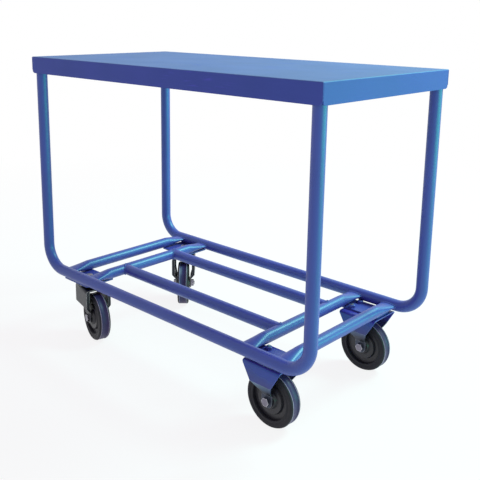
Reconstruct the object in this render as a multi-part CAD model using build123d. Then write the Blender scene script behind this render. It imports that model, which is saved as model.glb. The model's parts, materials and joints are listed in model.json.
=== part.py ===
from build123d import *
import math
import os

# Stock cart: a folded sheet tray on two bent-tube side frames, with a tubular
# lower shelf, two fixed casters at the front (+X) and two swivel casters at the
# rear (-X). Millimetres, +Z up, origin on the floor under the middle of the tray.

# Tray
TRAY_LENGTH = 900.0
TRAY_WIDTH = 450.0
TRAY_HEIGHT = 716.0
TRAY_FLANGE = 41.0
TRAY_SHEET = 1.5
TRAY_BEND = 2.5
TRAY_CORNER = 10.0
SEAM_WIDTH = 0.8
SEAM_DEPTH = 0.8

# Hat-section stiffeners under the tray
STIFFENER_X = 150.0
STIFFENER_CROWN = 40.0
STIFFENER_DEPTH = 25.0
STIFFENER_LIP = 15.0
STIFFENER_END_GAP = 0.5

# Tubes
TUBE_DIAMETER = 27.0
TUBE_WALL = 2.0
LEG_INSET = 17.0
LEG_CLEARANCE = 0.3
BEND_RADIUS = 60.0
TAPER_LENGTH = 68.0
FLAT_SLOT = 1.0
SHELF_TUBE_Y = 86.0
SHELF_TUBE_RELIEF = 1.0

# Caster positions, from the legs and the rails
CASTER_SETBACK = 122.0
CASTER_INSET = 38.2
BRACKET_SHIFT = 6.5
CROSS_TUBE_SPACING = 92.6

# Plates welded under the cross tubes
PLATE_LENGTH = 100.0
PLATE_THICKNESS = 4.0
FRONT_PLATE_WIDTH = 54.0
REAR_PLATE_WIDTH = 85.0
PLATE_CORNER = 6.0

# Wheels
WHEEL_DIAMETER = 121.0
TYRE_WIDTH = 30.0
TYRE_SHOULDER = 4.5
TREAD_RIB_WIDTH = 1.0
TREAD_RIB_HEIGHT = 0.5
TYRE_INNER_RADIUS = 43.5
HUB_WIDTH = 36.0
HUB_RADIUS = 17.0
DOME_RADIUS = 30.0
DOME_WIDTH = 25.0
WEB_WIDTH = 14.0
BEARING_RADIUS = 11.0

# Axles
AXLE_RADIUS = 5.0
AXLE_HEAD_FLATS = 17.0
AXLE_HEAD_HEIGHT = 6.4
AXLE_NUT_HEIGHT = 8.0
AXLE_END = 2.0
SLEEVE_WALL = 2.4
SIDE_PLAY = 1.0
HEX_FACE = 0.95

# Forks, pressed from sheet
FORK_SHEET = 3.0
FORK_BEND = 7.0
FORK_EYE = 14.0
BRACKET_LENGTH = 96.0
BRACKET_WIDTH = 90.0
BRACKET_SHOULDER = 4.0
BRACKET_TAB = 22.0
BRACKET_JOGGLE_TOP = 45.5
BRACKET_JOGGLE_BOTTOM = 14.0
SWIVEL_FORK_AHEAD = 17.0
SWIVEL_FORK_BEHIND = 61.0
SWIVEL_FORK_WIDTH = 65.0
SWIVEL_SHOULDER = 50.0
SWIVEL_TAB = 6.0
SWIVEL_JOGGLE_TOP = 29.0
SWIVEL_JOGGLE_BOTTOM = 16.0
FORK_LIP = 5.0
CROWN_RADIUS = 33.0

# Bracket fasteners
BRACKET_BOLT_X = 24.0
BRACKET_BOLT_Y = 18.0
BRACKET_BOLT_RADIUS = 4.0
BRACKET_BOLT_FLATS = 13.0
BRACKET_BOLT_HEAD = 5.3
BRACKET_NUT_HEIGHT = 6.5
BRACKET_BOLT_END = 2.0

# Swivel heads
CROWN_GAP = 14.2
SWIVEL_TRAIL = 48.0
SWIVEL_ANGLE_RIGHT = -15.0
SWIVEL_ANGLE_LEFT = -46.0
HEAD_RADIUS = 36.0
HEAD_SHEET = 2.5
BALL_RADIUS = 2.5
BALL_RING_RADIUS = 24.0
BALL_COUNT = 18
SEAL_INNER = 29.0
SEAL_WIDTH = 3.0
KINGPIN_RADIUS = 6.0
KINGPIN_FLATS = 19.0
KINGPIN_HEAD = 7.5
KINGPIN_NUT = 7.0
KINGPIN_END = 1.5
RETAINER_RADIUS = 16.0
RETAINER_THICKNESS = 3.0

# Clearances
RUNNING_GAP = 0.3
SHAFT_FIT = 0.05

# Derived places
TUBE_RADIUS = TUBE_DIAMETER / 2
BORE_RADIUS = TUBE_RADIUS - TUBE_WALL
LEG_X = TRAY_LENGTH / 2 - LEG_INSET
RAIL_Y = TRAY_WIDTH / 2 - TRAY_BEND - LEG_CLEARANCE - TUBE_RADIUS
CASTER_X = LEG_X - CASTER_SETBACK
CASTER_Y = RAIL_Y - CASTER_INSET
SWIVEL_TOP = WHEEL_DIAMETER + CROWN_GAP + FORK_SHEET
CASTER_TOP = SWIVEL_TOP + 2 * BALL_RADIUS + RUNNING_GAP + HEAD_SHEET
CASTER_HEIGHT = CASTER_TOP + PLATE_THICKNESS
RAIL_Z = CASTER_HEIGHT + TUBE_RADIUS
DECK_UNDERSIDE = TRAY_HEIGHT - TRAY_SHEET
FLAT_HALF_THICKNESS = TUBE_WALL + FLAT_SLOT / 2
FLAT_HALF_WIDTH = (math.pi / 2 * (TUBE_DIAMETER - TUBE_WALL) + TUBE_WALL) / 2
AXLE_Z = WHEEL_DIAMETER / 2
SLEEVE_RADIUS = AXLE_RADIUS + SHAFT_FIT + SLEEVE_WALL
SLEEVE_LENGTH = HUB_WIDTH + 2 * SIDE_PLAY
FORK_HALF_AXLE = SLEEVE_LENGTH / 2 + FORK_SHEET

UPWARD = (Align.CENTER, Align.CENTER, Align.MIN)
CORNERS = {"front_right": (1, -1), "front_left": (1, 1), "rear_right": (-1, -1), "rear_left": (-1, 1)}
SWIVEL_ANGLES = {"rear_right": SWIVEL_ANGLE_RIGHT, "rear_left": SWIVEL_ANGLE_LEFT}


def export(name, shape):
    """Write one named piece, or a group of like solids, to its own file."""
    shape.label = name
    export_step(shape, f"parts/{name}.step")


def tube_along_x(radius, length):
    return Rot(0, 90, 0) * Cylinder(radius, length)


def tube_along_y(radius, length):
    return Rot(90, 0, 0) * Cylinder(radius, length)


def hexagon(flats, height):
    """Hexagonal head or nut standing on its base, its top corners chamfered."""
    prism = extrude(RegularPolygon(flats / math.sqrt(3), 6), height)
    face_radius = HEX_FACE * flats / 2
    return prism & Cone(face_radius + height * math.sqrt(3), face_radius, height, align=UPWARD)


# Tray

def flange_corner_cut():
    """What a rounded lower flange corner removes: a square less its quarter disc."""
    square = Pos(-TRAY_CORNER / 2, TRAY_CORNER / 2) * Rectangle(TRAY_CORNER, TRAY_CORNER)
    return square - Pos(-TRAY_CORNER, TRAY_CORNER) * Circle(TRAY_CORNER)


def make_tray():
    """Inverted pan folded from one sheet: rounded flange ends, a seam at each corner."""
    base = TRAY_HEIGHT - TRAY_FLANGE
    outer = Pos(0, 0, base) * Box(TRAY_LENGTH, TRAY_WIDTH, TRAY_FLANGE, align=UPWARD)
    outer = fillet(outer.faces().sort_by(Axis.Z)[-1].edges(), TRAY_BEND)
    inner_length = TRAY_LENGTH - 2 * TRAY_SHEET
    inner_width = TRAY_WIDTH - 2 * TRAY_SHEET
    inner = Pos(0, 0, base) * Box(inner_length, inner_width, TRAY_FLANGE - TRAY_SHEET, align=UPWARD)
    inner = fillet(inner.faces().sort_by(Axis.Z)[-1].edges(), TRAY_BEND - TRAY_SHEET)
    tray = outer - inner
    for side_x in (-1, 1):
        for side_y in (-1, 1):
            facing = 0 if side_x > 0 else 180
            long_cut = extrude(flange_corner_cut(), TRAY_SHEET / 2, both=True)
            long_cut = Rot(0, 0, facing) * Rot(90, 0, 0) * long_cut
            long_y = side_y * (TRAY_WIDTH - TRAY_SHEET) / 2
            tray -= Pos(side_x * TRAY_LENGTH / 2, long_y, base) * long_cut
            facing = 90 if side_y > 0 else -90
            short_cut = extrude(flange_corner_cut(), TRAY_SHEET / 2, both=True)
            short_cut = Rot(0, 0, facing) * Rot(90, 0, 0) * short_cut
            short_x = side_x * (TRAY_LENGTH - TRAY_SHEET) / 2
            tray -= Pos(short_x, side_y * TRAY_WIDTH / 2, base) * short_cut
            seam = Box(2 * SEAM_DEPTH, SEAM_WIDTH, TRAY_FLANGE - TRAY_BEND, align=UPWARD)
            seam_y = side_y * (TRAY_WIDTH / 2 - TRAY_SHEET - SEAM_WIDTH / 2)
            tray -= Pos(side_x * TRAY_LENGTH / 2, seam_y, base) * seam
    return tray


def make_stiffener():
    """Hat section across the tray, its two lips flat against the deck."""
    length = TRAY_WIDTH - 2 * TRAY_BEND - 2 * STIFFENER_END_GAP
    wide = STIFFENER_CROWN + 2 * STIFFENER_LIP
    lips = Box(wide, length, TRAY_SHEET, align=(Align.CENTER, Align.CENTER, Align.MAX))
    crown = Box(STIFFENER_CROWN, length, STIFFENER_DEPTH, align=(Align.CENTER, Align.CENTER, Align.MAX))
    hollow_width = STIFFENER_CROWN - 2 * TRAY_SHEET
    hollow_depth = STIFFENER_DEPTH - TRAY_SHEET
    hollow = Box(hollow_width, length, hollow_depth, align=(Align.CENTER, Align.CENTER, Align.MAX))
    return Pos(0, 0, DECK_UNDERSIDE) * (lips + crown - hollow)


# Tube frame

def side_frame_path(y):
    """Centre line of a side frame: down one leg, along the rail and up the other."""
    corners = [(-LEG_X, y, DECK_UNDERSIDE), (-LEG_X, y, RAIL_Z), (LEG_X, y, RAIL_Z), (LEG_X, y, DECK_UNDERSIDE)]
    return FilletPolyline(*corners, radius=BEND_RADIUS)


def swept_bar(path, radius):
    """A round bar swept along a path."""
    start = Plane(origin=path @ 0, z_dir=path % 0)
    return sweep(start * Circle(radius), path=path)


def make_side_frame(y):
    path = side_frame_path(y)
    return swept_bar(path, TUBE_RADIUS) - swept_bar(path, BORE_RADIUS)


def flattened_end(shrink):
    """One tube end pressed flat towards +Y, from round to a thin wide oval."""
    half_width = (TUBE_RADIUS + FLAT_HALF_WIDTH) / 2
    half_thickness = (TUBE_RADIUS + FLAT_HALF_THICKNESS) / 2
    sections = [
        (RAIL_Y - TAPER_LENGTH, TUBE_RADIUS, TUBE_RADIUS),
        (RAIL_Y - TAPER_LENGTH / 2, half_width, half_thickness),
        (RAIL_Y, FLAT_HALF_WIDTH, FLAT_HALF_THICKNESS),
    ]
    faces = []
    for y, across, up in sections:
        plane = Plane(origin=(0, y, 0), x_dir=(1, 0, 0), z_dir=(0, 1, 0))
        faces.append(plane * Ellipse(across - shrink, up - shrink))
    return loft(faces)


def cross_tube_form(shrink):
    """Outside of a cross tube, or its bore when shrunk by the wall."""
    end = flattened_end(shrink)
    middle = tube_along_y(TUBE_RADIUS - shrink, 2 * (RAIL_Y - TAPER_LENGTH))
    return middle + end + mirror(end, about=Plane.XZ)


def make_cross_tube(x, rails):
    """Cross tube with flattened ends, coped where it is welded to the two rails."""
    tube = cross_tube_form(0) - cross_tube_form(TUBE_WALL)
    placed = Pos(x, 0, RAIL_Z) * tube
    for rail in rails:
        placed -= rail
    return max(placed.solids(), key=lambda solid: solid.volume)


def make_shelf_tube(y):
    """Lengthwise shelf tube, coped between the two inner cross tubes."""
    reach = CASTER_X - CROSS_TUBE_SPACING / 2
    length = 2 * (reach - SHELF_TUBE_RELIEF)
    tube = tube_along_x(TUBE_RADIUS, length) - tube_along_x(BORE_RADIUS, length)
    tube = Pos(0, y, RAIL_Z) * tube
    for side in (-1, 1):
        tube -= Pos(side * reach, y, RAIL_Z) * tube_along_y(TUBE_RADIUS, 2 * TUBE_DIAMETER)
    return tube


# Caster plates and fixed brackets

def bracket_bolt_places():
    return [(sx * BRACKET_BOLT_X, sy * BRACKET_BOLT_Y) for sx in (-1, 1) for sy in (-1, 1)]


def make_plate(width, holes, hole_radius):
    """Flat caster plate with its fastener holes, top face at the tubes' underside."""
    outline = RectangleRounded(PLATE_LENGTH, width, PLATE_CORNER)
    for x, y in holes:
        outline -= Pos(x, y) * Circle(hole_radius)
    return Pos(0, 0, CASTER_TOP) * extrude(outline, PLATE_THICKNESS)


def leg_section(wide, narrow, upper, lower, top, bend):
    """Upright region between two legs or their outsides, joggled in towards the axle."""
    bottom = AXLE_Z - 2 * FORK_EYE
    right = [(narrow, bottom), (narrow, lower), (wide, upper), (wide, top)]
    left = [(-y, z) for y, z in reversed(right)]
    face = make_face(Polyline(*right, *left, close=True))
    return fillet(face.vertices().group_by(Axis.Y)[-1], bend)


def leg_prism(section, length):
    """A section of the legs carried along X past both ends of the fork."""
    return extrude(Plane.YZ * section, length, both=True)


def leg_outline(front, rear, top, shoulder, tab, axle_x):
    """Side view of a fork: straight shoulders, then slanting in to an upright tab round the axle."""
    low = top - shoulder
    neck = AXLE_Z + tab
    corners = [
        (front, top),
        (front, low),
        (axle_x + FORK_EYE, neck),
        (axle_x + FORK_EYE, AXLE_Z),
        (axle_x - FORK_EYE, AXLE_Z),
        (axle_x - FORK_EYE, neck),
        (rear, low),
        (rear, top),
    ]
    return make_face(Polyline(*corners, close=True)) + Pos(axle_x, AXLE_Z) * Circle(FORK_EYE)


def outline_prism(outline, width):
    return extrude(Plane.XZ * outline, width, both=True)


def axle_hole(axle_x, width):
    return Pos(axle_x, 0, AXLE_Z) * tube_along_y(AXLE_RADIUS + SHAFT_FIT, 2 * width)


def make_fixed_bracket():
    """Bracket bent from sheet, its legs drawn in from the plate's width to the axle's."""
    half = BRACKET_LENGTH / 2
    wide = BRACKET_WIDTH / 2
    upper = AXLE_Z + BRACKET_JOGGLE_TOP
    lower = AXLE_Z + BRACKET_JOGGLE_BOTTOM
    outside = leg_section(wide, FORK_HALF_AXLE, upper, lower, CASTER_TOP, FORK_BEND)
    inside = leg_section(
        wide - FORK_SHEET, FORK_HALF_AXLE - FORK_SHEET, upper, lower, CASTER_TOP - FORK_SHEET, FORK_BEND - FORK_SHEET
    )
    outline = leg_outline(half, -half, CASTER_TOP, BRACKET_SHOULDER, BRACKET_TAB, 0)
    bracket = leg_prism(outside, BRACKET_LENGTH) - leg_prism(inside, BRACKET_LENGTH)
    bracket = bracket & outline_prism(outline, BRACKET_WIDTH)
    bracket = Pos(BRACKET_SHIFT, 0, 0) * (bracket - axle_hole(0, BRACKET_WIDTH))
    for x, y in bracket_bolt_places():
        bracket -= Pos(x, y, CASTER_TOP) * Cylinder(BRACKET_BOLT_RADIUS + SHAFT_FIT, 4 * FORK_SHEET)
    return bracket


def make_bracket_bolt():
    """Bolt put in from below, its head against the bracket and its end above the nut."""
    seat = CASTER_TOP - FORK_SHEET
    head = Pos(0, 0, seat) * Rot(180, 0, 0) * hexagon(BRACKET_BOLT_FLATS, BRACKET_BOLT_HEAD)
    length = FORK_SHEET + PLATE_THICKNESS + BRACKET_NUT_HEIGHT + BRACKET_BOLT_END
    return head + Pos(0, 0, seat) * Cylinder(BRACKET_BOLT_RADIUS, length, align=UPWARD)


def make_bracket_nut():
    nut = hexagon(BRACKET_BOLT_FLATS, BRACKET_NUT_HEIGHT)
    nut -= Cylinder(BRACKET_BOLT_RADIUS + SHAFT_FIT, 4 * BRACKET_NUT_HEIGHT)
    return Pos(0, 0, CASTER_HEIGHT) * nut


# Axle set and wheel, drawn about the axle along Y

def make_axle_bolt():
    """Axle bolt with its head on the right-hand side."""
    head = hexagon(AXLE_HEAD_FLATS, AXLE_HEAD_HEIGHT)
    length = 2 * FORK_HALF_AXLE + AXLE_NUT_HEIGHT + AXLE_END
    shank = Cylinder(AXLE_RADIUS, length, align=(Align.CENTER, Align.CENTER, Align.MAX))
    return Pos(0, -FORK_HALF_AXLE, 0) * Rot(90, 0, 0) * (head + shank)


def make_axle_nut():
    nut = hexagon(AXLE_HEAD_FLATS, AXLE_NUT_HEIGHT)
    nut -= Cylinder(AXLE_RADIUS + SHAFT_FIT, 4 * AXLE_NUT_HEIGHT)
    return Pos(0, FORK_HALF_AXLE, 0) * Rot(-90, 0, 0) * nut


def make_axle_sleeve():
    return tube_along_y(SLEEVE_RADIUS, SLEEVE_LENGTH) - tube_along_y(AXLE_RADIUS + SHAFT_FIT, SLEEVE_LENGTH)


def make_tyre():
    """Rubber tyre with rounded shoulders and a thin moulded rib along each tread edge."""
    tyre = Cylinder(WHEEL_DIAMETER / 2 - TREAD_RIB_HEIGHT, TYRE_WIDTH)
    tyre = fillet(tyre.edges().filter_by(GeomType.CIRCLE), TYRE_SHOULDER)
    for side in (-1, 1):
        rib_place = side * (TYRE_WIDTH / 2 - TYRE_SHOULDER - TREAD_RIB_WIDTH / 2)
        tyre += Pos(0, 0, rib_place) * Cylinder(WHEEL_DIAMETER / 2, TREAD_RIB_WIDTH)
    return Rot(90, 0, 0) * (tyre - Cylinder(TYRE_INNER_RADIUS, TYRE_WIDTH))


def make_wheel_core():
    """Moulded centre: hub, domed middle and a thinner web out to the tyre."""
    hub = HUB_WIDTH / 2
    dome = DOME_WIDTH / 2
    web = WEB_WIDTH / 2
    slope = dome - web
    half = [
        (BEARING_RADIUS, hub),
        (HUB_RADIUS, hub),
        (HUB_RADIUS + (hub - dome) / 2, dome),
        (DOME_RADIUS, dome),
        (DOME_RADIUS + slope / 2, web),
        (TYRE_INNER_RADIUS, web),
    ]
    other = [(r, -z) for r, z in reversed(half)]
    profile = make_face(Polyline(*half, *other, close=True))
    return Rot(90, 0, 0) * revolve(Plane.XZ * profile, Axis.Z)


def make_wheel_bearing():
    outer = tube_along_y(BEARING_RADIUS, HUB_WIDTH)
    return outer - tube_along_y(SLEEVE_RADIUS + SHAFT_FIT, HUB_WIDTH)


# Swivel heads, drawn about the kingpin

def make_swivel_head():
    """Pressed cap under the plate that the balls run against."""
    disc = Cylinder(HEAD_RADIUS, HEAD_SHEET, align=(Align.CENTER, Align.CENTER, Align.MAX))
    disc -= Cylinder(KINGPIN_RADIUS + SHAFT_FIT, 4 * HEAD_SHEET)
    return Pos(0, 0, CASTER_TOP) * disc


def retainer_bottom():
    return SWIVEL_TOP - FORK_SHEET - RUNNING_GAP - RETAINER_THICKNESS


def make_retainer():
    """Washer that holds the fork up against the balls."""
    washer = Cylinder(RETAINER_RADIUS, RETAINER_THICKNESS, align=UPWARD)
    washer -= Cylinder(KINGPIN_RADIUS + SHAFT_FIT, 4 * RETAINER_THICKNESS)
    return Pos(0, 0, retainer_bottom()) * washer


def make_kingpin_bolt():
    """Bolt from above the plate, down through the swivel head, fork and retainer."""
    head = Pos(0, 0, CASTER_HEIGHT) * hexagon(KINGPIN_FLATS, KINGPIN_HEAD)
    end = retainer_bottom() - KINGPIN_NUT - KINGPIN_END
    return head + Pos(0, 0, end) * Cylinder(KINGPIN_RADIUS, CASTER_HEIGHT - end, align=UPWARD)


def make_kingpin_nut():
    nut = hexagon(KINGPIN_FLATS, KINGPIN_NUT) - Cylinder(KINGPIN_RADIUS + SHAFT_FIT, 4 * KINGPIN_NUT)
    return Pos(0, 0, retainer_bottom()) * Rot(180, 0, 0) * nut


def make_swivel_fork():
    """Pressed fork: round crown on the kingpin, two legs with their edges turned in."""
    wide = SWIVEL_FORK_WIDTH / 2
    upper = AXLE_Z + SWIVEL_JOGGLE_TOP
    lower = AXLE_Z + SWIVEL_JOGGLE_BOTTOM
    front = SWIVEL_TRAIL + SWIVEL_FORK_AHEAD
    rear = SWIVEL_TRAIL - SWIVEL_FORK_BEHIND
    under = SWIVEL_TOP - FORK_SHEET
    inner_axle = FORK_HALF_AXLE - FORK_SHEET
    inner_bend = FORK_BEND - FORK_SHEET
    long = SWIVEL_FORK_AHEAD + SWIVEL_FORK_BEHIND + SWIVEL_TRAIL
    outside = leg_section(wide, FORK_HALF_AXLE, upper, lower, SWIVEL_TOP, FORK_BEND)
    outline = leg_outline(front, rear, SWIVEL_TOP, SWIVEL_SHOULDER, SWIVEL_TAB, SWIVEL_TRAIL)
    fork = leg_prism(outside, long) & outline_prism(outline, SWIVEL_FORK_WIDTH)
    between = leg_section(wide - FORK_SHEET - FORK_LIP, inner_axle, upper, lower, under, inner_bend)
    fork -= leg_prism(between, long)
    hollow = leg_section(wide - FORK_SHEET, inner_axle - SHAFT_FIT, upper, lower, under, inner_bend)
    inner_outline = leg_outline(
        front - FORK_SHEET, rear + FORK_SHEET, SWIVEL_TOP, SWIVEL_SHOULDER - FORK_SHEET, SWIVEL_TAB, SWIVEL_TRAIL
    )
    fork -= leg_prism(hollow, long) & outline_prism(inner_outline, SWIVEL_FORK_WIDTH)
    fork -= axle_hole(SWIVEL_TRAIL, SWIVEL_FORK_WIDTH)
    fork += Pos(0, 0, under) * Cylinder(CROWN_RADIUS, FORK_SHEET, align=UPWARD)
    return fork - Pos(0, 0, SWIVEL_TOP) * Cylinder(KINGPIN_RADIUS + SHAFT_FIT, 4 * FORK_SHEET)


def make_balls():
    spots = PolarLocations(BALL_RING_RADIUS, BALL_COUNT)
    return [Pos(0, 0, SWIVEL_TOP + BALL_RADIUS) * spot * Sphere(BALL_RADIUS) for spot in spots]


def make_seal():
    height = 2 * BALL_RADIUS
    ring = Cylinder(SEAL_INNER + SEAL_WIDTH, height, align=UPWARD)
    return Pos(0, 0, SWIVEL_TOP) * (ring - Cylinder(SEAL_INNER, 4 * height))


# Assembly

def place_all(shapes, places):
    """One group holding every shape at every place."""
    return Compound(children=[place * shape for place in places for shape in shapes])


def build_frame():
    export("top_tray", make_tray())
    for name, side in (("front", 1), ("rear", -1)):
        export(f"deck_stiffener_{name}", Pos(side * STIFFENER_X, 0, 0) * make_stiffener())
    rails = []
    for name, side in (("right", -1), ("left", 1)):
        export(f"side_frame_{name}", make_side_frame(side * RAIL_Y))
        rails.append(swept_bar(side_frame_path(side * RAIL_Y), TUBE_RADIUS))
        export(f"shelf_tube_{name}", make_shelf_tube(side * SHELF_TUBE_Y))
    for end, side in (("front", 1), ("rear", -1)):
        for name, offset in (("outer", 0.5), ("inner", -0.5)):
            x = side * (CASTER_X + offset * CROSS_TUBE_SPACING)
            export(f"cross_tube_{end}_{name}", make_cross_tube(x, rails))


def build_wheel(corner, place):
    axle = place * Pos(0, 0, AXLE_Z)
    export(f"tyre_{corner}", axle * make_tyre())
    export(f"wheel_core_{corner}", axle * make_wheel_core())
    export(f"wheel_bearing_{corner}", axle * make_wheel_bearing())
    export(f"axle_bolt_{corner}", axle * make_axle_bolt())
    export(f"axle_nut_{corner}", axle * make_axle_nut())
    export(f"axle_sleeve_{corner}", axle * make_axle_sleeve())


def build_fixed_caster(corner, place):
    plate = make_plate(FRONT_PLATE_WIDTH, bracket_bolt_places(), BRACKET_BOLT_RADIUS + SHAFT_FIT)
    export(f"caster_plate_{corner}", place * plate)
    export(f"fixed_bracket_{corner}", place * make_fixed_bracket())
    build_wheel(corner, place * Pos(BRACKET_SHIFT, 0, 0))


def build_swivel_caster(corner, place):
    plate = make_plate(REAR_PLATE_WIDTH, [(0, 0)], KINGPIN_RADIUS + SHAFT_FIT)
    export(f"caster_plate_{corner}", place * plate)
    export(f"swivel_head_{corner}", place * make_swivel_head())
    export(f"kingpin_bolt_{corner}", place * make_kingpin_bolt())
    export(f"kingpin_nut_{corner}", place * make_kingpin_nut())
    export(f"swivel_retainer_{corner}", place * make_retainer())
    turned = place * Rot(0, 0, SWIVEL_ANGLES[corner])
    export(f"swivel_fork_{corner}", turned * make_swivel_fork())
    export(f"swivel_balls_{corner}", place_all(make_balls(), [turned]))
    export(f"swivel_seal_{corner}", turned * make_seal())
    build_wheel(corner, turned * Pos(SWIVEL_TRAIL, 0, 0))


def build_casters():
    fixed_places = []
    for corner, (side_x, side_y) in CORNERS.items():
        place = Pos(side_x * CASTER_X, side_y * CASTER_Y, 0)
        if corner in SWIVEL_ANGLES:
            build_swivel_caster(corner, place)
        else:
            build_fixed_caster(corner, place)
            fixed_places.append(place)
    spots = [place * Pos(x, y, 0) for place in fixed_places for x, y in bracket_bolt_places()]
    export("bracket_bolts", place_all([make_bracket_bolt()], spots))
    export("bracket_nuts", place_all([make_bracket_nut()], spots))


os.makedirs("parts", exist_ok=True)
build_frame()
build_casters()
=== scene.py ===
import json
import math

import bmesh
import bpy
from bpy.props import FloatProperty, FloatVectorProperty, IntProperty, PointerProperty
from mathutils import Matrix, Vector


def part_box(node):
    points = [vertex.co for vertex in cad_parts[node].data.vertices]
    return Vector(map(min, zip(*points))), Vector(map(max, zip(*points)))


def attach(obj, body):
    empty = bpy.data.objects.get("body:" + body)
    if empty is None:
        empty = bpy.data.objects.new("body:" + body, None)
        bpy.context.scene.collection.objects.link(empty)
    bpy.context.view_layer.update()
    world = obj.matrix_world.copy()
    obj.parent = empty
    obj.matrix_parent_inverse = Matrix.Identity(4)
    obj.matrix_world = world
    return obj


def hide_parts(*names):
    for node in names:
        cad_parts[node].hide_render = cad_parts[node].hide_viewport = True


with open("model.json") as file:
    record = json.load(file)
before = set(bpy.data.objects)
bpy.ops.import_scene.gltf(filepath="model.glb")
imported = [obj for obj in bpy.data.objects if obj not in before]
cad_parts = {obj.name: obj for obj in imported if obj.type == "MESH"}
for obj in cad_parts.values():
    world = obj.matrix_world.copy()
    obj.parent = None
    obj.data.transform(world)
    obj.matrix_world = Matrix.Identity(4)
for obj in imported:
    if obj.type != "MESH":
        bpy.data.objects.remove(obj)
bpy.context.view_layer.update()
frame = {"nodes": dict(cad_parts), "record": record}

bl_info = {
    "name": "Stock Cart Finishes",
    "version": (1, 0, 0),
    "blender": (4, 5, 0),
    "location": "View3D > Sidebar > Cart",
    "description": "Paint, zinc, rubber and welds for a tubular stock cart",
    "category": "Object",
}

JOINTS = {joint["name"]: joint for joint in frame["record"]["behaviour"]["joints"]}
CORNERS = ("front_right", "front_left", "rear_right", "rear_left")
SIDES = (-1, 1)
UP = Vector((0.0, 0.0, 1.0))
FORWARD = Vector((1.0, 0.0, 0.0))
WHITE = (1.0, 1.0, 1.0, 1.0)
FULL_TURN = 2 * math.pi
QUARTER_TURN = math.pi / 2

# Fixed values of the finishes. Lengths are in metres. A patch or grain is the size of one spot of a
# noise, and a band is the stretch of a value over which a look fades in.

# Powder coat
CLOUD_PATCH = 0.12
EVEN_BAND = (0.3, 0.7)
FRAME_CLOUDING = 0.06
DECK_CLOUDING = 0.09
PAINT_SPECULAR = 0.65
FRAME_COAT = 0.38
DECK_COAT = 0.0
COAT_ROUGHNESS = 0.28
PAINT_GLOSS_PATCH = 0.03
PAINT_ROUGHNESS = (0.5, 0.58)
PEEL_DEPTH = 0.000004

# Wear on the deck, and the tray top's paler, greener colour, a painted reflection, which starts and is
# full at these depths below the tray's top
DECK_DEPTHS = (0.0015, 0.0005)
DECK_ROUGHNESS = (0.62, 0.65)
WEAR_PATCH = 0.14
WEAR_BAND = (0.45, 0.7)
SCRATCH_STRETCH = (0.05, 1.0, 1.0)
SCRATCH_GRAIN = 0.0025
SCRATCH_BAND = (0.58, 0.7)
SCRATCH_MOST = 0.6
SCRATCH_PALE = 1.9
SCRATCH_ROUGHNESS = 0.12

# Zinc plate, and its pale edges, partly rubbed bare metal and partly painted highlight
ZINC_GRAIN = 0.004
ZINC_SHADES = (0.78, 1.15)
ZINC_GLOSS_PATCH = 0.009
ZINC_ROUGHNESS = (0.28, 0.46)
BALL_ROUGHNESS = (0.08, 0.15)
BOLT_ROUGHNESS = (0.12, 0.22)
PIT_GRAIN = 0.0012
PIT_DEPTH = 0.00003
EDGE_BAND = (0.86, 0.98)
EDGE_GRAIN = 0.005
EDGE_GRAIN_BAND = (0.35, 0.6)
EDGE_LEAST = 0.45

# Overspray on the fixed brackets
OVERSPRAY_PATCH = 0.03
OVERSPRAY_DRIFT = 0.02
OVERSPRAY_METAL_BAND = (0.1, 0.8)
OVERSPRAY_ROUGHNESS = (0.42, 0.26)
OVERSPRAY_PEEL_DEPTH = 0.00002
# Share of the pale edge, rubbed metal and painted highlight, left on the painted part of a bracket
PAINTED_EDGE_WEAR_AND_HIGHLIGHT = 0.15

# Rubber
DUST_PATCH = 0.025
DUST_BAND = (0.5, 0.85)
DUST_MOST = 0.5
DUST_PALE = 2.2
RUBBER_GLOSS_PATCH = 0.012
RUBBER_ROUGHNESS = (0.5, 0.68)
TREAD_ROUGHNESS = (0.4, 0.55)
RUBBER_GRAIN = 0.0009
RUBBER_GRAIN_DEPTH = 0.00005
RUBBER_SPECULAR = 0.3

# Moulded plastic
FLOW_PATCH = 0.03
FLOW_SHADES = (0.85, 1.25)
MOULDING_GLOSS_PATCH = 0.006
MOULDING_ROUGHNESS = (0.36, 0.5)
SPARK_GRAIN = 0.0006
SPARK_DEPTH = 0.00003

# Rounding of pressed sheet
JOIN_GAP = 0.00001
ROUNDING_STEPS = 3
SHARP_ANGLE = math.radians(40)

# Tyre section: the lip and groove of a sidewall as steps in from the side and out from the core
SIDEWALL_STEPS = (
    (0.0016, 0.0), (0.0004, 0.0006), (0.0, 0.0016), (0.0, 0.0040),
    (0.0005, 0.0046), (0.0005, 0.0060), (0.0, 0.0066),
)
SHOULDER_ROUND = 0.0045
SHOULDER_STEPS = 8
RIB_HEIGHT = 0.0005
RIB_FLANK = 0.0001
RIB_BEVEL_DROP = 0.0002
RIB_BEVEL_WIDTH = 0.0003
SIDEWALL_MARK, TREAD_MARK, RIB_MARK = 0, 1, 2

# Weld beads; a run is a bead's length in half widths of what it goes round
BEAD_SIDES = 10
RIPPLE_DEPTH = 0.13
RIPPLE_POINTS = 4
LEAST_POINTS = 24
STEEP = 0.9
FLAT_END_HALF_HEIGHT = 0.0046
FLAT_END_RUN = 4.4
SADDLE_RUN = 7.6
LEG_RUN = 6.3
LEG_BEAD_DROP = 0.45

# Stage
FLOOR_REACH = 12.0
FLOOR_SHADE = (0.86, 0.86, 0.86, 1.0)
FLOOR_GLOW = (0.86, 1.0)
FLOOR_GLOW_BAND = (0.6, 2.6)
WINDOW_LAMP = {"place": (1.1, 1.85, 2.65), "target": (0.0, 0.0, 0.3), "size": (1.0, 1.6)}
FRONT_LAMP = {"place": (2.5, 0.9, 0.39), "target": (0.0, 0.0, 0.39), "size": (3.0, 0.62)}

# Sockets of the colour mixing node, which share their names with others
MIX_SHARE, MIX_FIRST, MIX_SECOND, MIX_RESULT = 0, 6, 7, 2


# Sizes and colours


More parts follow.
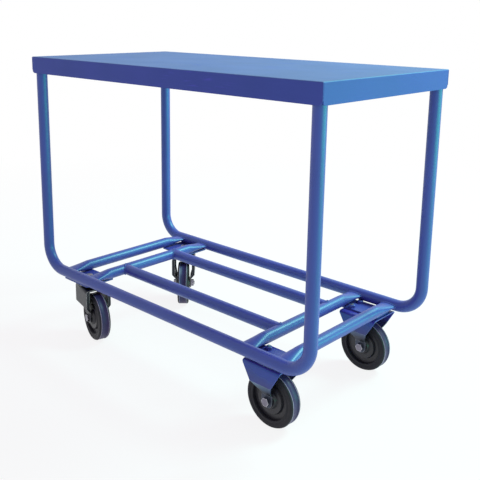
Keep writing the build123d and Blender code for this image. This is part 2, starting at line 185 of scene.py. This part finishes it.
class CartSizes(bpy.types.PropertyGroup):
    """Small sizes that only the finish needs."""

    edge_round: FloatProperty(
        name="Edge rounding", description="Rounding on the cut edges of pressed sheet",
        default=0.0007, unit="LENGTH")
    weld_width: FloatProperty(
        name="Weld width", description="Width of a weld bead",
        default=0.0042, unit="LENGTH")
    weld_pitch: FloatProperty(
        name="Weld pitch", description="Length of one ripple along a bead",
        default=0.0028, unit="LENGTH")
    # Widths of the pale edges and corners, partly rubbed metal and partly painted highlight
    edge_wear_and_highlight: FloatProperty(
        name="Edge wear", description="Width of the rubbed line along a sheet's edge",
        default=0.0012, unit="LENGTH")
    corner_wear_and_glint: FloatProperty(
        name="Corner wear", description="Width of the bright wear on the corners of bolts and nuts",
        default=0.0026, unit="LENGTH")
    peel: FloatProperty(
        name="Paint peel", description="Size of the dimples in the powder coat",
        default=0.0016, unit="LENGTH")
    overspray_top: FloatProperty(
        name="Overspray top", description="Height above which the brackets are fully painted",
        default=0.132, unit="LENGTH")
    overspray_bottom: FloatProperty(
        name="Overspray bottom", description="Height below which the brackets are bare",
        default=0.082, unit="LENGTH")
    tread_rib: FloatProperty(
        name="Tread rib", description="Width of the moulded rib along each tread edge",
        default=0.0013, unit="LENGTH")
    tyre_segments: IntProperty(
        name="Tyre segments", description="Divisions round a tyre", default=160)


class CartColours(bpy.types.PropertyGroup):
    """Colours of the cart's finishes."""

    paint: FloatVectorProperty(
        name="Paint", description="Blue powder coat", subtype="COLOR", size=4,
        default=(0.057, 0.044, 0.315, 1.0))
    # The tray top's paler, greener coat is painted reflection, not dulling from use
    deck: FloatVectorProperty(
        name="Deck", description="Powder coat dulled by use on the tray's top", subtype="COLOR", size=4,
        default=(0.082, 0.108, 0.315, 1.0))
    paint_sheen: FloatVectorProperty(
        name="Paint sheen", description="Tint of the powder coat's reflections", subtype="COLOR", size=4,
        default=(0.05, 1.0, 0.62, 1.0))
    zinc: FloatVectorProperty(
        name="Zinc", description="Bright zinc on bolts, nuts and balls", subtype="COLOR", size=4,
        default=(0.2, 0.19, 0.24, 1.0))
    # Dull zinc darkened further as painted shade from under the cart, for the forks, heads and retainers
    fork: FloatVectorProperty(
        name="Fork", description="Dull zinc on the swivel forks", subtype="COLOR", size=4,
        default=(0.036, 0.038, 0.046, 1.0))
    bracket: FloatVectorProperty(
        name="Bracket", description="Bare zinc on the fixed brackets", subtype="COLOR", size=4,
        default=(0.065, 0.075, 0.105, 1.0))
    # Pale edge colour, partly rubbed bare steel and partly painted highlight
    bare_and_highlit_edge: FloatVectorProperty(
        name="Bare edge", description="Rubbed edges of the pressed steel", subtype="COLOR", size=4,
        default=(0.62, 0.63, 0.66, 1.0))
    rubber: FloatVectorProperty(
        name="Rubber", description="Tyre sidewalls and seals", subtype="COLOR", size=4,
        default=(0.009, 0.009, 0.014, 1.0))
    # Violet tint on the tread rubber: painted reflection of the blue frame
    tread: FloatVectorProperty(
        name="Tread", description="Tyre tread", subtype="COLOR", size=4,
        default=(0.027, 0.017, 0.072, 1.0))
    # Pale rib colour along the tread edges: painted highlight, not scuffing
    rib: FloatVectorProperty(
        name="Tread rib", description="Scuffed rib along the tread edges", subtype="COLOR", size=4,
        default=(0.36, 0.25, 0.36, 1.0))
    moulding: FloatVectorProperty(
        name="Moulding", description="Wheel centres", subtype="COLOR", size=4,
        default=(0.014, 0.014, 0.02, 1.0))
    bush: FloatVectorProperty(
        name="Bush", description="Plain wheel bearings", subtype="COLOR", size=4,
        default=(0.42, 0.41, 0.38, 1.0))


class CartView(bpy.types.PropertyGroup):
    """Camera and studio light."""

    place: FloatVectorProperty(
        name="Camera", description="Camera position", subtype="TRANSLATION",
        default=(1.1503, -1.2015, 0.8238))
    turn: FloatProperty(
        name="Turn", description="Camera heading from +Y towards +X", subtype="ANGLE",
        default=math.radians(-43.58))
    dip: FloatProperty(
        name="Dip", description="Camera angle below level", subtype="ANGLE",
        default=math.radians(12.17))
    lean: FloatProperty(
        name="Lean", description="Camera roll", subtype="ANGLE", default=math.radians(0.600))
    lens: FloatProperty(
        name="Lens", description="Focal length in millimetres", default=53.28, unit="CAMERA")
    shift_x: FloatProperty(name="Shift X", description="Sideways lens shift", default=0.0347)
    shift_y: FloatProperty(name="Shift Y", description="Upright lens shift", default=-0.15)
    sky: FloatProperty(
        name="Surround", description="Strength of the light that the surround gives", default=0.6)
    window_lamp: FloatProperty(
        name="Window lamp", description="Power of the high lamp on the left",
        default=140.0, unit="POWER")
    front_lamp: FloatProperty(
        name="Front lamp", description="Power of the low lamp at the front end",
        default=44.0, unit="POWER")
    sky_tint: FloatVectorProperty(
        name="Surround tint", description="Tint of the light that the surround gives",
        subtype="COLOR", size=3, default=(1.0, 0.8, 1.0))
    window_tint: FloatVectorProperty(
        name="Window tint", description="Cool daylight of the high lamp",
        subtype="COLOR", size=3, default=(0.47, 1.0, 0.88))
    front_tint: FloatVectorProperty(
        name="Front tint", description="Greener light of the lamp at the front end",
        subtype="COLOR", size=3, default=(0.05, 1.0, 0.6))


# Node helpers


def fill(tree, target, inputs):
    """Set a node's inputs to values, or link them to other nodes' outputs."""
    for key, value in inputs.items():
        if isinstance(value, bpy.types.NodeSocket):
            tree.links.new(value, target.inputs[key])
        else:
            target.inputs[key].default_value = value


def node(tree, kind, inputs, **settings):
    """Add a shader node, set its options and fill its inputs."""
    made = tree.nodes.new(kind)
    for key, value in settings.items():
        setattr(made, key, value)
    fill(tree, made, inputs)
    return made


def new_finish(name):
    """A fresh material with its node tree, shader and object-space coordinates."""
    material = bpy.data.materials.new(name)
    material.use_nodes = True
    tree = material.node_tree
    return material, tree, tree.nodes["Principled BSDF"], object_spot(tree)


def object_spot(tree):
    """Where a point of the surface lies, in the object's own space."""
    return tree.nodes.new("ShaderNodeTexCoord").outputs["Object"]


def height_of(tree, spot):
    """The height of a point above the floor."""
    return node(tree, "ShaderNodeSeparateXYZ", {"Vector": spot}).outputs["Z"]


def noise(tree, spot, size, detail=2.0, roughness=0.5):
    """Noise with features of about the given size in metres, from 0 to 1."""
    inputs = {"Vector": spot, "Scale": 1.0 / size, "Detail": detail, "Roughness": roughness}
    return node(tree, "ShaderNodeTexNoise", inputs).outputs["Fac"]


def ranged(tree, value, low, high, band=(0.0, 1.0)):
    """Map a value's band to low..high, held at both ends."""
    start, end = band
    inputs = {"Value": value, "From Min": start, "From Max": end, "To Min": low, "To Max": high}
    return node(tree, "ShaderNodeMapRange", inputs).outputs["Result"]


def faded(tree, value, band):
    """0 before a value's band and 1 after it."""
    return ranged(tree, value, 0.0, 1.0, band)


def combined(tree, operation, first, second):
    """Two values added, multiplied or otherwise made into one."""
    return node(tree, "ShaderNodeMath", {0: first, 1: second}, operation=operation).outputs["Value"]


def blended(tree, share, first, second):
    """Mix two colours or two colour outputs by a share."""
    inputs = {MIX_SHARE: share, MIX_FIRST: first, MIX_SECOND: second}
    return node(tree, "ShaderNodeMix", inputs, data_type="RGBA").outputs[MIX_RESULT]


def shaded(colour, factor):
    """A colour made darker or lighter, and opaque."""
    return tuple(min(1.0, part * factor) for part in colour[:3]) + (1.0,)


def shades(tree, value, colour, first, second):
    """A colour that goes from one shade of it to another as a value rises."""
    return blended(tree, value, shaded(colour, first), shaded(colour, second))


def bump(tree, height, depth):
    """Surface direction from a height, with its depth in metres."""
    inputs = {"Height": height, "Distance": depth, "Strength": 1.0}
    return node(tree, "ShaderNodeBump", inputs).outputs["Normal"]


# Finishes


def paint_colour(tree, spot, colour, clouding=FRAME_CLOUDING):
    """Powder coat colour with the faint clouding of an even spray."""
    cloud = faded(tree, noise(tree, spot, CLOUD_PATCH, detail=3.0), EVEN_BAND)
    return shades(tree, cloud, colour, 1 - clouding, 1 + clouding)


def paint_gloss(colours, coat_weight):
    """The powder coat's tinted reflection under a thin clear gloss, as shader inputs."""
    return {
        "Specular Tint": colours.paint_sheen,
        "Specular IOR Level": PAINT_SPECULAR,
        "Coat Weight": coat_weight,
        "Coat Roughness": COAT_ROUGHNESS,
    }


def paint_finish(name, colours, sizes):
    """Gloss powder coat: clouded colour, orange peel and slightly uneven gloss."""
    material, tree, shader, spot = new_finish(name)
    fill(tree, shader, {
        "Base Color": paint_colour(tree, spot, colours.paint),
        "Roughness": ranged(tree, noise(tree, spot, PAINT_GLOSS_PATCH, detail=4.0), *PAINT_ROUGHNESS),
        "Normal": bump(tree, noise(tree, spot, sizes.peel, detail=1.0), PEEL_DEPTH),
        **paint_gloss(colours, FRAME_COAT),
    })
    return material


def deck_finish(name, colours, sizes):
    """The tray's powder coat, faintly rubbed and scratched by what is slid over it, with its top painted
    paler and greener as painted reflection.
    """
    material, tree, shader, spot = new_finish(name)
    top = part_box("top_tray")[1][2]
    deck_top_reflection = faded(tree, height_of(tree, spot), tuple(top - depth for depth in DECK_DEPTHS))
    side = paint_colour(tree, spot, colours.paint)
    # The top takes the paler, greener deck colour: painted reflection
    base = blended(tree, deck_top_reflection, side, paint_colour(tree, spot, colours.deck, DECK_CLOUDING))
    slide = node(tree, "ShaderNodeMapping", {"Vector": spot, "Scale": SCRATCH_STRETCH}).outputs["Vector"]
    scratch = faded(tree, noise(tree, slide, SCRATCH_GRAIN), SCRATCH_BAND)
    patch = faded(tree, noise(tree, spot, WEAR_PATCH, detail=3.0), WEAR_BAND)
    worn = combined(tree, "MULTIPLY", scratch, patch)
    rubbed = ranged(tree, patch, *DECK_ROUGHNESS)
    scraped = ranged(tree, worn, 0.0, SCRATCH_ROUGHNESS)
    pale = shaded(colours.paint, SCRATCH_PALE)
    fill(tree, shader, {
        "Base Color": blended(tree, ranged(tree, worn, 0.0, SCRATCH_MOST), base, pale),
        "Roughness": combined(tree, "ADD", rubbed, scraped),
        "Normal": bump(tree, noise(tree, spot, sizes.peel, detail=1.0), PEEL_DEPTH),
        **paint_gloss(colours, DECK_COAT),
    })
    return material


def zinc_colour(tree, spot, colour):
    """Plated steel colour with fine mottling."""
    grain = noise(tree, spot, ZINC_GRAIN, detail=4.0, roughness=0.6)
    return shades(tree, faded(tree, grain, EVEN_BAND), colour, *ZINC_SHADES)


def rubbed_and_highlit_edge(tree, spot, width):
    """1 along the edges of a sheet, broken up by grain, and 0 on its faces; the pale edge it places is
    partly rubbed metal and partly painted highlight.
    """
    true = tree.nodes.new("ShaderNodeNewGeometry").outputs["Normal"]
    rounded = node(tree, "ShaderNodeBevel", {"Radius": width}).outputs["Normal"]
    likeness = node(tree, "ShaderNodeVectorMath", {0: true, 1: rounded}, operation="DOT_PRODUCT")
    edge = ranged(tree, likeness.outputs["Value"], 1.0, 0.0, EDGE_BAND)
    grain = ranged(tree, noise(tree, spot, EDGE_GRAIN, detail=3.0), EDGE_LEAST, 1.0, EDGE_GRAIN_BAND)
    return combined(tree, "MULTIPLY", edge, grain)


def zinc_finish(name, plating, colours, wear, gloss=ZINC_ROUGHNESS):
    """Zinc plate on pressed steel and fasteners, pale along the edges as rubbed metal and painted
    highlight.
    """
    material, tree, shader, spot = new_finish(name)
    plate = zinc_colour(tree, spot, plating)
    fill(tree, shader, {
        "Base Color": blended(tree, rubbed_and_highlit_edge(tree, spot, wear), plate, colours.bare_and_highlit_edge),
        "Roughness": ranged(tree, noise(tree, spot, ZINC_GLOSS_PATCH, detail=3.0), *gloss),
        "Normal": bump(tree, noise(tree, spot, PIT_GRAIN), PIT_DEPTH),
        "Metallic": 1.0,
    })
    return material


def overspray_finish(name, colours, sizes):
    """Fixed brackets: zinc plate below, painted with the frame above, fading between."""
    material, tree, shader, spot = new_finish(name)
    uneven = noise(tree, spot, OVERSPRAY_PATCH, detail=4.0)
    drift = ranged(tree, uneven, -OVERSPRAY_DRIFT, OVERSPRAY_DRIFT)
    level = combined(tree, "ADD", height_of(tree, spot), drift)
    covered = faded(tree, level, (sizes.overspray_bottom, sizes.overspray_top))
    plate = zinc_colour(tree, spot, colours.bracket)
    colour = blended(tree, covered, plate, paint_colour(tree, spot, colours.paint))
    # Painted parts keep a little of the pale edge, rubbed metal and painted highlight
    uncovered = ranged(tree, covered, 1.0, PAINTED_EDGE_WEAR_AND_HIGHLIGHT)
    bare = combined(tree, "MULTIPLY", rubbed_and_highlit_edge(tree, spot, sizes.edge_wear_and_highlight), uncovered)
    fill(tree, shader, {
        "Base Color": blended(tree, bare, colour, colours.bare_and_highlit_edge),
        "Metallic": ranged(tree, covered, 1.0, 0.0, OVERSPRAY_METAL_BAND),
        "Roughness": ranged(tree, covered, *OVERSPRAY_ROUGHNESS),
        "Normal": bump(tree, noise(tree, spot, sizes.peel), OVERSPRAY_PEEL_DEPTH),
        "Specular Tint": blended(tree, covered, WHITE, colours.paint_sheen),
    })
    return material


def rubber_finish(name, colour, gloss=RUBBER_ROUGHNESS):
    """Moulded rubber with a fine grain and dusty patches."""
    material, tree, shader, spot = new_finish(name)
    specks = noise(tree, spot, DUST_PATCH, detail=5.0, roughness=0.65)
    dust = ranged(tree, specks, 0.0, DUST_MOST, DUST_BAND)
    fill(tree, shader, {
        "Base Color": shades(tree, dust, colour, 1.0, DUST_PALE),
        "Roughness": ranged(tree, noise(tree, spot, RUBBER_GLOSS_PATCH, detail=3.0), *gloss),
        "Normal": bump(tree, noise(tree, spot, RUBBER_GRAIN), RUBBER_GRAIN_DEPTH),
        "Specular IOR Level": RUBBER_SPECULAR,
    })
    return material


def moulding_finish(name, colour):
    """Moulded plastic with a fine sparked texture."""
    material, tree, shader, spot = new_finish(name)
    fill(tree, shader, {
        "Base Color": shades(tree, noise(tree, spot, FLOW_PATCH, detail=3.0), colour, *FLOW_SHADES),
        "Roughness": ranged(tree, noise(tree, spot, MOULDING_GLOSS_PATCH), *MOULDING_ROUGHNESS),
        "Normal": bump(tree, noise(tree, spot, SPARK_GRAIN, detail=1.0), SPARK_DEPTH),
    })
    return material


# Piece helpers


def names(*starts):
    """CAD nodes whose names start with any of the given words."""
    found = [name for name in frame["nodes"] if name.startswith(starts)]
    if not found:
        raise RuntimeError("No CAD node starts with " + " or ".join(starts))
    return found


def coat(piece_names, material):
    """Give CAD nodes a finish."""
    for name in piece_names:
        piece = frame["nodes"][name]
        if not piece.material_slots:
            piece.data.materials.append(material)
        for slot in piece.material_slots:
            slot.material = material


def soften(piece_names, width):
    """Round the cut edges of pressed sheet by a small bevel."""
    for name in piece_names:
        piece = frame["nodes"][name]
        weld = piece.modifiers.new("Joined faces", "WELD")
        weld.merge_threshold = JOIN_GAP
        edge = piece.modifiers.new("Edge rounding", "BEVEL")
        edge.width = width
        edge.segments = ROUNDING_STEPS
        edge.limit_method = "ANGLE"
        edge.angle_limit = SHARP_ANGLE
        edge.harden_normals = True


def new_piece(name, form, materials, body):
    """Turn a bmesh into a smooth-shaded object that rides on a body."""
    mesh = bpy.data.meshes.new(name)
    bmesh.ops.recalc_face_normals(form, faces=form.faces)
    form.to_mesh(mesh)
    form.free()
    mesh.polygons.foreach_set("use_smooth", [True] * len(mesh.polygons))
    piece = bpy.data.objects.new(name, mesh)
    bpy.context.scene.collection.objects.link(piece)
    for material in materials:
        mesh.materials.append(material)
    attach(piece, body)
    return piece


def box_size(name):
    """Middle and size of a CAD node's box at rest."""
    low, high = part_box(name)
    return (Vector(low) + Vector(high)) / 2, Vector(high) - Vector(low)


def skin(form, rings, marks=None):
    """Join closed rings of points into one closed skin, with a material mark per run of a ring."""
    for index, here in enumerate(rings):
        there = rings[(index + 1) % len(rings)]
        for side in range(len(here)):
            other = (side + 1) % len(here)
            face = form.faces.new((here[side], here[other], there[other], there[side]))
            if marks:
                face.material_index = marks[side]


# Tyres


def wheel_place(corner):
    """Where a wheel stands: its axle along local Y, up along local Z."""
    joint = JOINTS["roll_" + corner]
    axle = Vector(joint["axis"]).normalized()
    turned = Matrix((axle.cross(UP), axle, UP)).transposed().to_4x4()
    return Matrix.Translation(joint["pos_m"]) @ turned


def tyre_profile(radius, half_width, inner, rib):
    """Section of a tyre as (offset, radius) points, and which rubber each run shows."""
    body = radius - RIB_HEIGHT
    outer = half_width - SHOULDER_ROUND
    half = [(half_width - inset, inner + rise, SIDEWALL_MARK) for inset, rise in SIDEWALL_STEPS]
    for step in range(SHOULDER_STEPS + 1):
        angle = QUARTER_TURN * step / SHOULDER_STEPS
        offset = outer + SHOULDER_ROUND * math.cos(angle)
        height = body - SHOULDER_ROUND + SHOULDER_ROUND * math.sin(angle)
        half.append((offset, height, SIDEWALL_MARK if step < SHOULDER_STEPS else RIB_MARK))
    half += [
        (outer - RIB_FLANK, radius - RIB_BEVEL_DROP, RIB_MARK),
        (outer - RIB_BEVEL_WIDTH, radius, RIB_MARK),
        (outer - rib + RIB_BEVEL_WIDTH, radius, RIB_MARK),
        (outer - rib + RIB_FLANK, radius - RIB_BEVEL_DROP, RIB_MARK),
        (outer - rib, body, TREAD_MARK),
    ]
    points = [(offset, height) for offset, height, _ in half]
    marks = [mark for _, _, mark in half]
    back = [(-offset, height) for offset, height in reversed(points)]
    return points + back, marks + marks[-2::-1] + [SIDEWALL_MARK]


def lathe(profile, marks, segments, place):
    """Turn a closed profile of (offset, radius) points round local Y, with a material mark per run."""
    form = bmesh.new()
    rings = []
    for step in range(segments):
        angle = FULL_TURN * step / segments
        across, up = math.cos(angle), math.sin(angle)
        rings.append([form.verts.new(place @ Vector((radius * across, offset, radius * up)))
                      for offset, radius in profile])
    skin(form, rings, marks)
    return form


# Welds


def angles_round(length, sizes):
    """Angles round a closed bead, close enough together to carry its ripples."""
    count = max(LEAST_POINTS, int(RIPPLE_POINTS * length / sizes.weld_pitch))
    return [FULL_TURN * step / count for step in range(count)]


def bead(form, points, sizes):
    """Lay a closed rippled weld bead along a loop of points."""
    rings = []
    travelled = 0.0
    for index, point in enumerate(points):
        before, after = points[index - 1], points[(index + 1) % len(points)]
        along = (after - before).normalized()
        travelled += (point - before).length
        out = along.cross(UP if abs(along.z) < STEEP else FORWARD).normalized()
        rise = out.cross(along)
        ripple = math.sin(FULL_TURN * travelled / sizes.weld_pitch)
        radius = sizes.weld_width / 2 * (1.0 + RIPPLE_DEPTH * ripple)
        ring = []
        for side in range(BEAD_SIDES):
            angle = FULL_TURN * side / BEAD_SIDES
            ring.append(form.verts.new(point + radius * (math.cos(angle) * out + math.sin(angle) * rise)))
        rings.append(ring)
    skin(form, rings)


def rail_line():
    """Height, half spacing and radius of the two rails."""
    middle, size = box_size("side_frame_left")
    radius = size.y / 2
    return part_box("side_frame_left")[0][2] + radius, middle.y, radius


def cross_tube_welds(sizes):
    """A bead round each flattened tube end, lying on the rail."""
    form = bmesh.new()
    height, spread, radius = rail_line()
    for name in names("cross_tube"):
        middle, size = box_size(name)
        half_wide = size.x / 2
        for side in SIDES:
            points = []
            for angle in angles_round(FLAT_END_RUN * half_wide, sizes):
                across = middle.x + half_wide * math.cos(angle)
                rise = FLAT_END_HALF_HEIGHT * math.sin(angle)
                reach = spread - math.sqrt(radius ** 2 - rise ** 2)
                points.append(Vector((across, side * reach, height + rise)))
            bead(form, points, sizes)
    return form


def shelf_tube_welds(sizes):
    """A saddle-shaped bead at both ends of each shelf tube."""
    form = bmesh.new()
    height, _, radius = rail_line()
    for name in names("shelf_tube"):
        middle = box_size(name)[0]
        for end in ("front", "rear"):
            tube = box_size("cross_tube_" + end + "_inner")[0]
            side = 1 if tube.x > 0 else -1
            points = []
            for angle in angles_round(SADDLE_RUN * radius, sizes):
                across, rise = radius * math.cos(angle), radius * math.sin(angle)
                reach = abs(tube.x) - abs(across)
                points.append(Vector((side * reach, middle.y + across, height + rise)))
            bead(form, points, sizes)
    return form


def leg_welds(sizes):
    """A bead round the top of each leg, under the deck."""
    form = bmesh.new()
    _, spread, radius = rail_line()
    low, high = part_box("side_frame_left")
    height = high[2] - LEG_BEAD_DROP * sizes.weld_width
    for end in (low[0] + radius, high[0] - radius):
        for side in SIDES:
            points = []
            for angle in angles_round(LEG_RUN * radius, sizes):
                along, across = radius * math.cos(angle), radius * math.sin(angle)
                points.append(Vector((end + along, side * spread + across, height)))
            bead(form, points, sizes)
    return form


# Stage


def seen_directly(tree):
    """1 where a surface is seen straight, in a reflection or through glass, otherwise 0."""
    path = tree.nodes.new("ShaderNodeLightPath")
    total = path.outputs["Is Camera Ray"]
    for name in ("Is Glossy Ray", "Is Transmission Ray"):
        total = combined(tree, "MAXIMUM", total, path.outputs[name])
    return total


def make_floor():
    """A wide pale floor that reads as white but keeps the cart's shadow."""
    mesh = bpy.data.meshes.new("floor")
    signs = ((-1, -1), (1, -1), (1, 1), (-1, 1))
    corners = [(across * FLOOR_REACH, along * FLOOR_REACH, 0.0) for across, along in signs]
    mesh.from_pydata(corners, [], [(0, 1, 2, 3)])
    floor = bpy.data.objects.new("floor", mesh)
    bpy.context.scene.collection.objects.link(floor)
    mesh.materials.append(floor_finish())


def floor_finish():
    """Matte white, with a glow towards the eye that is full away from the cart."""
    material = bpy.data.materials.new("floor_white")
    material.use_nodes = True
    material.cycles.emission_sampling = "NONE"
    tree = material.node_tree
    tree.nodes.clear()
    matte = node(tree, "ShaderNodeBsdfDiffuse", {"Color": FLOOR_SHADE})
    glow = node(tree, "ShaderNodeEmission", {"Color": WHITE, "Strength": 1.0})
    far = node(tree, "ShaderNodeVectorMath", {0: object_spot(tree)}, operation="LENGTH")
    most = ranged(tree, far.outputs["Value"], *FLOOR_GLOW, FLOOR_GLOW_BAND)
    share = combined(tree, "MULTIPLY", seen_directly(tree), most)
    both = node(tree, "ShaderNodeMixShader", {0: share, 1: matte.outputs[0], 2: glow.outputs[0]})
    node(tree, "ShaderNodeOutputMaterial", {"Surface": both.outputs[0]})
    return material


def make_surround(view):
    """White to the eye and in reflections, and a softer even light on the cart."""
    world = bpy.data.worlds.new("surround")
    world.use_nodes = True
    tree = world.node_tree
    direct = seen_directly(tree)
    fill(tree, tree.nodes["Background"], {
        "Strength": ranged(tree, direct, view.sky, 1.0),
        "Color": blended(tree, direct, (*view.sky_tint, 1.0), WHITE),
    })
    bpy.context.scene.world = world


def add_lamp(name, power, tint, place, target, size):
    """A soft lamp aimed at a point, hidden from the camera."""
    lamp = bpy.data.lights.new(name, "AREA")
    lamp.shape = "RECTANGLE"
    lamp.size, lamp.size_y = size
    lamp.energy = power
    lamp.color = tint
    lamp_object = bpy.data.objects.new(name, lamp)
    aim = (Vector(target) - Vector(place)).to_track_quat("-Z", "Y")
    lamp_object.matrix_world = Matrix.Translation(place) @ aim.to_matrix().to_4x4()
    lamp_object.visible_camera = False
    bpy.context.scene.collection.objects.link(lamp_object)


def add_camera(view):
    """The camera at the photograph's viewpoint."""
    camera = bpy.data.cameras.new("camera")
    camera.lens = view.lens
    camera.shift_x = view.shift_x
    camera.shift_y = view.shift_y
    level = Vector((math.cos(view.turn), -math.sin(view.turn), 0.0))
    ahead = Vector((
        math.sin(view.turn) * math.cos(view.dip),
        math.cos(view.turn) * math.cos(view.dip),
        -math.sin(view.dip)))
    upright = level.cross(ahead)
    right = level * math.cos(view.lean) + upright * math.sin(view.lean)
    up = upright * math.cos(view.lean) - level * math.sin(view.lean)
    turned = Matrix((right, up, -ahead)).transposed().to_4x4()
    camera_object = bpy.data.objects.new("camera", camera)
    camera_object.matrix_world = Matrix.Translation(view.place) @ turned
    bpy.context.scene.collection.objects.link(camera_object)
    bpy.context.scene.camera = camera_object


# Operators


class CART_OT_tray(bpy.types.Operator):
    """Rubbed powder coat on the tray, its top painted paler as painted reflection, and plain coat on its
    stiffeners
    """

    bl_idname = "cart.tray"
    bl_label = "Top tray"

    def execute(self, context):
        colours, sizes = context.scene.cart_colours, context.scene.cart_sizes
        coat(["top_tray"], deck_finish("tray_paint", colours, sizes))
        coat(names("deck_stiffener"), paint_finish("stiffener_paint", colours, sizes))
        return {"FINISHED"}


class CART_OT_tube_frame(bpy.types.Operator):
    """Powder coat on the side frames, cross tubes, shelf tubes, caster plates and bracket nuts"""

    bl_idname = "cart.tube_frame"
    bl_label = "Tube frame"

    def execute(self, context):
        material = paint_finish("frame_paint", context.scene.cart_colours, context.scene.cart_sizes)
        coat(names("side_frame", "cross_tube", "shelf_tube", "caster_plate", "bracket_nuts"), material)
        return {"FINISHED"}


class CART_OT_fixed_brackets(bpy.types.Operator):
    """Oversprayed zinc on the fixed caster brackets"""

    bl_idname = "cart.fixed_brackets"
    bl_label = "Fixed brackets"

    def execute(self, context):
        colours, sizes = context.scene.cart_colours, context.scene.cart_sizes
        coat(names("fixed_bracket"), overspray_finish("bracket_overspray", colours, sizes))
        soften(names("fixed_bracket"), sizes.edge_round)
        return {"FINISHED"}


class CART_OT_swivels(bpy.types.Operator):
    """Zinc on the swivel forks, heads and balls, the forks, heads and retainers darkened as painted
    shade, and rubber on the dust seals
    """

    bl_idname = "cart.swivels"
    bl_label = "Swivel casters"

    def execute(self, context):
        colours, sizes = context.scene.cart_colours, context.scene.cart_sizes
        # Forks, heads and retainers get dull zinc darkened as painted shade
        shade_darkened_zinc = zinc_finish("fork_zinc_painted_shade", colours.fork, colours, sizes.edge_wear_and_highlight)
        bright = zinc_finish("ball_steel", colours.zinc, colours, sizes.edge_wear_and_highlight, BALL_ROUGHNESS)
        coat(names("swivel_fork", "swivel_head", "swivel_retainer"), shade_darkened_zinc)
        coat(names("swivel_balls"), bright)
        coat(names("swivel_seal"), rubber_finish("seal_rubber", colours.rubber))
        soften(names("swivel_fork"), sizes.edge_round)
        return {"FINISHED"}


class CART_OT_wheels(bpy.types.Operator):
    """Moulded tyres with ribbed tread edges, a violet tread as painted reflection and pale ribs as
    painted highlight, and finishes for the wheel centres
    """

    bl_idname = "cart.wheels"
    bl_label = "Wheels"

    def execute(self, context):
        colours, sizes = context.scene.cart_colours, context.scene.cart_sizes
        materials = [
            rubber_finish("sidewall_rubber", colours.rubber),
            # Violet tread: painted reflection of the blue frame
            rubber_finish("tread_rubber_painted_reflection", colours.tread, TREAD_ROUGHNESS),
            # Pale ribs: painted highlight along the tread edges
            rubber_finish("rib_painted_highlight", colours.rib),
        ]
        tyre_size = box_size("tyre_front_right")[1]
        core_size = box_size("wheel_core_front_right")[1]
        profile, marks = tyre_profile(tyre_size.z / 2, tyre_size.y / 2, core_size.z / 2, sizes.tread_rib)
        for corner in CORNERS:
            form = lathe(profile, marks, sizes.tyre_segments, wheel_place(corner))
            tyre = new_piece("moulded_tyre_" + corner, form, materials, "wheel_" + corner)
            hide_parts("tyre_" + corner)
        coat(names("wheel_core"), moulding_finish("wheel_moulding", colours.moulding))
        coat(names("wheel_bearing"), moulding_finish("bush_nylon", colours.bush))
        return {"FINISHED"}


class CART_OT_fasteners(bpy.types.Operator):
    """Bright zinc on bolts, axle and kingpin nuts, and sleeves"""

    bl_idname = "cart.fasteners"
    bl_label = "Fasteners"

    def execute(self, context):
        colours, sizes = context.scene.cart_colours, context.scene.cart_sizes
        material = zinc_finish("bolt_zinc", colours.zinc, colours, sizes.corner_wear_and_glint, BOLT_ROUGHNESS)
        coat(names("axle_", "kingpin_", "bracket_bolts"), material)
        return {"FINISHED"}


class CART_OT_welds(bpy.types.Operator):
    """Painted weld beads where the tubes, the rails and the tray meet"""

    bl_idname = "cart.welds"
    bl_label = "Welds"

    def execute(self, context):
        sizes = context.scene.cart_sizes
        material = paint_finish("weld_paint", context.scene.cart_colours, sizes)
        welds = {
            "cross_tube_welds": cross_tube_welds(sizes),
            "shelf_tube_welds": shelf_tube_welds(sizes),
            "leg_welds": leg_welds(sizes),
        }
        for name, form in welds.items():
            new_piece(name, form, [material], "cart_frame")
        return {"FINISHED"}


class CART_OT_stage(bpy.types.Operator):
    """Pale floor, soft studio light and the camera"""

    bl_idname = "cart.stage"
    bl_label = "Stage"

    def execute(self, context):
        view = context.scene.cart_view
        make_floor()
        make_surround(view)
        add_lamp("window_lamp", view.window_lamp, view.window_tint, **WINDOW_LAMP)
        add_lamp("front_lamp", view.front_lamp, view.front_tint, **FRONT_LAMP)
        add_camera(view)
        context.scene.view_settings.view_transform = "Standard"
        return {"FINISHED"}


# Panel and registration


PIECE_OPERATORS = (
    CART_OT_tray, CART_OT_tube_frame, CART_OT_fixed_brackets, CART_OT_swivels, CART_OT_wheels,
    CART_OT_fasteners, CART_OT_welds, CART_OT_stage,
)
PROPERTY_GROUPS = {"cart_sizes": CartSizes, "cart_colours": CartColours, "cart_view": CartView}


class CART_PT_panel(bpy.types.Panel):
    """The cart's sizes, colours and pieces in the sidebar"""

    bl_idname = "CART_PT_panel"
    bl_label = "Stock cart"
    bl_space_type = "VIEW_3D"
    bl_region_type = "UI"
    bl_category = "Cart"

    def draw(self, context):
        for name, group in PROPERTY_GROUPS.items():
            for key in group.__annotations__:
                self.layout.prop(getattr(context.scene, name), key)
        for operator in PIECE_OPERATORS:
            self.layout.operator(operator.bl_idname)


def register():
    for group in PROPERTY_GROUPS.values():
        bpy.utils.register_class(group)
    for operator in PIECE_OPERATORS:
        bpy.utils.register_class(operator)
    bpy.utils.register_class(CART_PT_panel)
    for name, group in PROPERTY_GROUPS.items():
        setattr(bpy.types.Scene, name, PointerProperty(type=group))


def unregister():
    for name in PROPERTY_GROUPS:
        delattr(bpy.types.Scene, name)
    bpy.utils.unregister_class(CART_PT_panel)
    for operator in reversed(PIECE_OPERATORS):
        bpy.utils.unregister_class(operator)
    for group in reversed(PROPERTY_GROUPS.values()):
        bpy.utils.unregister_class(group)


def main():
    register()
    bpy.ops.cart.tray()
    bpy.ops.cart.tube_frame()
    bpy.ops.cart.fixed_brackets()
    bpy.ops.cart.swivels()
    bpy.ops.cart.wheels()
    bpy.ops.cart.fasteners()
    bpy.ops.cart.welds()
    bpy.ops.cart.stage()


if __name__ == "__main__":
    main()
